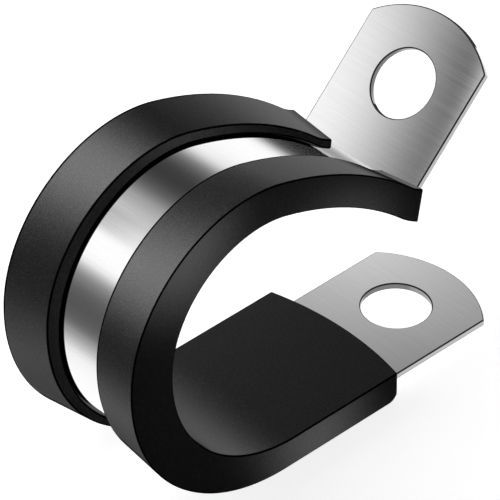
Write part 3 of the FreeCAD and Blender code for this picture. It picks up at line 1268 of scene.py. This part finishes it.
@dataclass
class SpotCard:
    """A clear card close in front of the object, with soft spots for its flat front face.

    The direction seen_by is the camera's line of sight after the front face mirrors it.
    """

    name: str
    spots: tuple[Spot, ...]
    face: float = -8.75
    distance: float = 8.0
    half: float = 90.0
    seen_by: tuple[float, float, float] = (0.55, -0.573, -0.61)

    def _material(self) -> bpy.types.Material:
        """Make the glowing material, each spot where its place mirrors it to the camera.

        Returns:
            The material.
        """
        material, graph = new_material(self.name)
        place = graph.field("ShaderNodeTexCoord", output="Object")
        across, out, up = self.seen_by
        way = self.distance / -out
        level: Field | float = 0.0
        for spot in self.spots:
            centre = ((spot.place[0] + across * way) * MM, (self.face - self.distance) * MM,
                      (spot.place[1] + up * way) * MM)
            off = graph.field("ShaderNodeVectorMath", {"operation": "DISTANCE"},
                              {0: place, 1: centre}, output="Value") / MM
            level = (1.0 - off.ramp(0.0, spot.reach)) * spot.strength + level
        graph.set_glow(level)
        return material

    def build(self, lit: list[bpy.types.Object]) -> None:
        """Stand the card up, lighting only some objects.

        Args:
            lit: the objects that it lights.
        """
        away, half = self.face - self.distance, self.half
        corners = [(-half, away, -half), (half, away, -half),
                   (half, away, half), (-half, away, half)]
        shine_on(stage_mesh(self.name, corners, [(0, 1, 2, 3)], self._material()), lit)


STEEL_TENT = Tent("steel_tent", (
    (0, 1.0), (20, 0.95), (38, 0.46), (50, 0.12), (70, 0.04), (82, 0.07), (98, 0.33),
    (115, 0.60), (130, 1.0), (140, 1.0), (152, 1.0), (163, 0.55), (173, 0.19),
    (190, 0.09), (204, 0.11), (214, 0.25), (226, 0.62), (238, 0.92), (300, 0.94), (360, 1.0)),
    strength=1.25, front=0.55, cards=(
        Card(115.5, 134.0, 71.5, 93.0, 0.12), Card(22.0, 42.0, 50.0, 90.0, 0.4),
        Card(-36.0, -2.0, 30.0, 1500.0, 0.01)))
RUBBER_TENT = Tent("rubber_tent", (
    (0, 0.23), (12, 0.16), (26, 0.05), (45, 0.01), (68, 0.01), (88, 0.25), (106, 0.85),
    (122, 1.0), (140, 0.80), (158, 0.26), (174, 0.05), (200, 0.04), (218, 0.10),
    (240, 0.20), (258, 0.12), (290, 0.05), (320, 0.06), (340, 0.17), (360, 0.23)),
    strength=2.0, skew=0.6, front=0.01, radius=118.0)
FRONT_SPOTS = SpotCard("front_spots", (
    Spot((-10.5, 13.8), 9.5, 0.85), Spot((7.0, -18.5), 9.5, 0.8), Spot((11.0, 4.0), 8.0, 0.65)))


@dataclass
class Studio:
    """Floor, white background and camera, which stands where the photo was taken from."""

    floor_level: float = -19.258
    floor_reach: float = 4000.0
    floor_tone: float = 0.8
    floor_glow: float = 0.85
    camera_place: tuple[float, float, float] = (-239.855, -259.783, 279.007)
    camera_turn: tuple[float, float, float] = (52.086, 0.105, -43.585)
    lens: float = 349.55
    sensor_width: float = 36.0
    clip_start: float = 10.0

    def floor(self) -> bpy.types.Object:
        """Lay a white floor that keeps a faint shadow.

        Returns:
            The floor.
        """
        material, graph = new_material("floor")
        diffuse = graph.field("ShaderNodeBsdfDiffuse", inputs={"Color": grey(self.floor_tone)})
        camera = graph.field("ShaderNodeLightPath", output="Is Camera Ray")
        glow = graph.field("ShaderNodeEmission", inputs={"Strength": camera * self.floor_glow})
        graph.set_surface(graph.field("ShaderNodeAddShader", inputs={0: diffuse, 1: glow}))
        reach, level = self.floor_reach, self.floor_level
        corners = [(-reach, -reach, level), (reach, -reach, level),
                   (reach, reach, level), (-reach, reach, level)]
        made = stage_mesh("floor", corners, [(0, 1, 2, 3)], material)
        made.visible_glossy = False
        made.visible_shadow = False
        return made

    def world(self) -> None:
        """Show white behind the floor, to the camera only."""
        world = bpy.data.worlds.new("studio")
        world.use_nodes = True
        bpy.context.scene.world = world
        graph = Graph(world.node_tree)
        camera = graph.field("ShaderNodeLightPath", output="Is Camera Ray")
        back = graph.field("ShaderNodeBackground", inputs={"Strength": camera})
        graph.node("ShaderNodeOutputWorld", inputs={"Surface": back})

    def camera(self) -> None:
        """Stand the camera up."""
        data = bpy.data.cameras.new("camera")
        data.lens = self.lens
        data.sensor_width = self.sensor_width
        data.clip_start = self.clip_start * MM
        made = bpy.data.objects.new("camera", data)
        made.location = Vector(self.camera_place) * MM
        made.rotation_euler = Euler([math.radians(turn) for turn in self.camera_turn])
        bpy.context.scene.collection.objects.link(made)
        bpy.context.scene.camera = made

    def build(self, steel: bpy.types.Object, rubber: bpy.types.Object) -> None:
        """Set up the whole stage round the two finished pieces.

        Args:
            steel: the strap.
            rubber: the liner.
        """
        STEEL_TENT.build([steel])
        RUBBER_TENT.build([rubber, self.floor()])
        FRONT_SPOTS.build([rubber])
        self.world()
        self.camera()
        bpy.context.scene.view_settings.view_transform = "Standard"


def keep(piece: bpy.types.Object, node: str) -> None:
    """Tie a finished piece to the frame and report it.

    Args:
        piece: the finished piece.
        node: the CAD node that it stands for.
    """
    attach(piece, ROOT_BODY)
    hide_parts(node)
    LOG.info("%s: %d faces", piece.name, len(piece.data.polygons))


def main() -> None:
    """Build the pieces and the stage."""
    logging.basicConfig(level=logging.INFO, format="%(message)s")
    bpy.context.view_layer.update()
    ring = RingSizes()
    tree = BendTree()
    strap = Strap(ring, StrapSizes(), tree)
    liner = Liner(ring, LinerSizes(), strap.sizes, tree)
    steel, rubber = SteelFinish(), RubberFinish()
    gap = liner.sizes.lip_gap
    strap_piece = strap.build(
        steel.material(strap.path().last_joint, gap, strap.hole_places(),
                       strap.sizes.hole_radius),
        steel.edge_material())
    keep(strap_piece, "strap")
    liner_piece = liner.build(
        rubber.material(liner.half_width, gap / 2), rubber.edge_material())
    keep(liner_piece, "liner")
    # Neither piece shows in the other's gloss, as in the photo.
    for piece in (strap_piece, liner_piece):
        piece.visible_glossy = False
    Studio().build(strap_piece, liner_piece)


if __name__ == "__main__":
    main()
